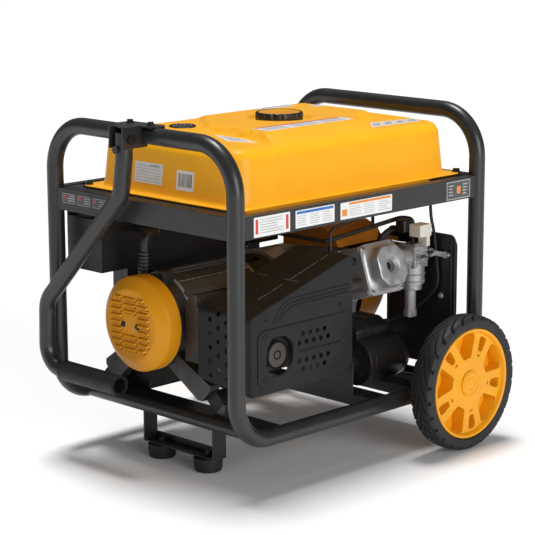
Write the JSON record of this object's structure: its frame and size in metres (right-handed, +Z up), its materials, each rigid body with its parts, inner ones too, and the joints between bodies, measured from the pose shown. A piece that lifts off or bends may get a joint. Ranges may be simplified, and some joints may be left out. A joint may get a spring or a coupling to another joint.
{
  "type": "portable generator",
  "caption": "Open-frame portable generator on two wheels and rubber feet, with fold-down tow handle, top fuel tank, engine, alternator and side control panel.",
  "frame": {"origin": "on the ground under the middle of the overall bounding box", "axes": "+X to the wheel end, -X to the tow handle end, +Z up, -Y the muffler and cylinder head side, +Y the control panel side"},
  "size_m": [0.7359, 0.673, 0.6635],
  "materials": {
    "frame_paint": "satin powder coat",
    "tank_paint": "gloss paint",
    "yellow_plastic": "semi gloss",
    "tyre_rubber": "matte",
    "rubber": "matte",
    "black_plastic": "matte",
    "panel_plastic": "fine grain",
    "cast_aluminium": "as cast",
    "dark_steel": "heat resistant paint",
    "bright_steel": "zinc plated",
    "machined_steel": "machined",
    "black_zinc": "black zinc",
    "brass_tap": "cast",
    "relay_plastic": "matte",
    "button_green": "gloss",
    "button_red": "gloss"
  },
  "bodies": {
    "frame": {"hoop_handle_end": "frame_paint", "hoop_wheel_end": "frame_paint", "side_rails": "frame_paint", "cross_members": "frame_paint", "tank_band": "frame_paint", "foot_bracket": "frame_paint", "rubber_feet": "rubber", "axle": "bright_steel", "handle_bracket": "frame_paint", "handle_pivot_pin": "black_zinc", "tank_upper": "tank_paint", "tank_lower": "tank_paint", "fasteners": "black_zinc", "fuel_gauge": "black_plastic", "alternator_cover": "yellow_plastic", "alternator_bells": "cast_aluminium", "stator": "dark_steel", "crankcase": "cast_aluminium", "cylinder_head": "cast_aluminium", "valve_cover": "cast_aluminium", "spark_plug": "black_plastic", "blower_housing": "yellow_plastic", "cylinder_shroud": "yellow_plastic", "recoil_cover": "black_plastic", "starter_motor": "dark_steel", "muffler": "dark_steel", "heat_shield": "dark_steel", "baffle_plates": "frame_paint", "carburetor": "cast_aluminium", "air_cleaner": "black_plastic", "fuel_valve": "brass_tap", "fuel_hose": "rubber", "relay_box": "relay_plastic", "control_box": "panel_plastic", "panel_fittings": "panel_plastic", "wiring_conduit": "rubber", "battery": "black_plastic", "rubber_mounts": "rubber"},
    "wheel_left": {"tyre_left": "tyre_rubber", "rim_left": "yellow_plastic"},
    "wheel_right": {"tyre_right": "tyre_rubber", "rim_right": "yellow_plastic"},
    "tow_handle": {"handle_tube": "frame_paint", "handle_grip": "rubber"},
    "lock_button": {"handle_lock_button": "black_plastic"},
    "cap_plug": {"fuel_cap_stem": "yellow_plastic"},
    "cap_shell": {"fuel_cap": "black_plastic"},
    "crank_train": {"crankshaft": "machined_steel", "flywheel": "machined_steel"},
    "pull_grip": {"recoil_grip": "black_plastic"},
    "choke": {"choke_lever": "bright_steel"},
    "fuel_tap_lever": {"fuel_valve_lever": "black_plastic"},
    "oil_dipstick": {"dipstick": "black_plastic"},
    "cover_a": {"outlet_cover_a": "black_plastic"},
    "cover_b": {"outlet_cover_b": "black_plastic"},
    "reset_a": {"breaker_a": "black_plastic"},
    "reset_b": {"breaker_b": "black_plastic"},
    "starter_button": {"start_button": "button_green"},
    "rocker": {"engine_switch": "button_red"}
  },
  "joints": [
    {"name": "wheel_left_spin", "type": "hinge", "parent": "frame", "child": "wheel_left", "pos_m": [0.2359, -0.3125, 0.1325], "axis": [0, 1, 0], "continuous": true},
    {"name": "wheel_right_spin", "type": "hinge", "parent": "frame", "child": "wheel_right", "pos_m": [0.2359, 0.3125, 0.1325], "axis": [0, 1, 0], "continuous": true},
    {"name": "handle_fold", "type": "hinge", "parent": "frame", "child": "tow_handle", "pos_m": [-0.3455, 0, 0.634], "axis": [0, 1, 0], "range_deg": [0, 90]},
    {"name": "lock_button_press", "type": "slide", "parent": "tow_handle", "child": "lock_button", "axis": [1, 0, 0], "range_m": [0, 0.003], "stiffness_N_per_m": 400},
    {"name": "cap_lift", "type": "slide", "parent": "frame", "child": "cap_plug", "axis": [0, 0, 1], "range_m": [0, 0.09]},
    {"name": "cap_turn", "type": "hinge", "parent": "cap_plug", "child": "cap_shell", "pos_m": [0.0495, 0, 0.64], "axis": [0, 0, 1], "range_deg": [0, 90]},
    {"name": "crank_turn", "type": "hinge", "parent": "frame", "child": "crank_train", "pos_m": [0.1225, 0.056, 0.273], "axis": [1, 0, 0], "continuous": true},
    {"name": "recoil_pull", "type": "slide", "parent": "frame", "child": "pull_grip", "axis": [1, 0, 0], "range_m": [0, 0.5]},
    {"name": "choke_swing", "type": "hinge", "parent": "frame", "child": "choke", "pos_m": [0.2965, -0.178, 0.36], "axis": [1, 0, 0], "range_deg": [-25, 25]},
    {"name": "fuel_tap_turn", "type": "hinge", "parent": "frame", "child": "fuel_tap_lever", "pos_m": [0.0525, 0.107, 0.44], "axis": [0, 1, 0], "range_deg": [0, 90]},
    {"name": "dipstick_pull", "type": "slide", "parent": "frame", "child": "oil_dipstick", "axis": [0, 0, 1], "range_m": [0, 0.09]},
    {"name": "cover_a_lift", "type": "hinge", "parent": "frame", "child": "cover_a", "pos_m": [-0.0075, 0.258, 0.455], "axis": [1, 0, 0], "range_deg": [0, 100]},
    {"name": "cover_b_lift", "type": "hinge", "parent": "frame", "child": "cover_b", "pos_m": [-0.0895, 0.258, 0.455], "axis": [1, 0, 0], "range_deg": [0, 100]},
    {"name": "reset_a_push", "type": "slide", "parent": "frame", "child": "reset_a", "axis": [0, -1, 0], "range_m": [0, 0.002], "stiffness_N_per_m": 400},
    {"name": "reset_b_push", "type": "slide", "parent": "frame", "child": "reset_b", "axis": [0, -1, 0], "range_m": [0, 0.002], "stiffness_N_per_m": 400},
    {"name": "start_push", "type": "slide", "parent": "frame", "child": "starter_button", "axis": [0, -1, 0], "range_m": [0, 0.002], "stiffness_N_per_m": 400},
    {"name": "switch_rock", "type": "hinge", "parent": "frame", "child": "rocker", "pos_m": [0.1685, 0.245, 0.432], "axis": [1, 0, 0], "range_deg": [-10, 10]}
  ]
}
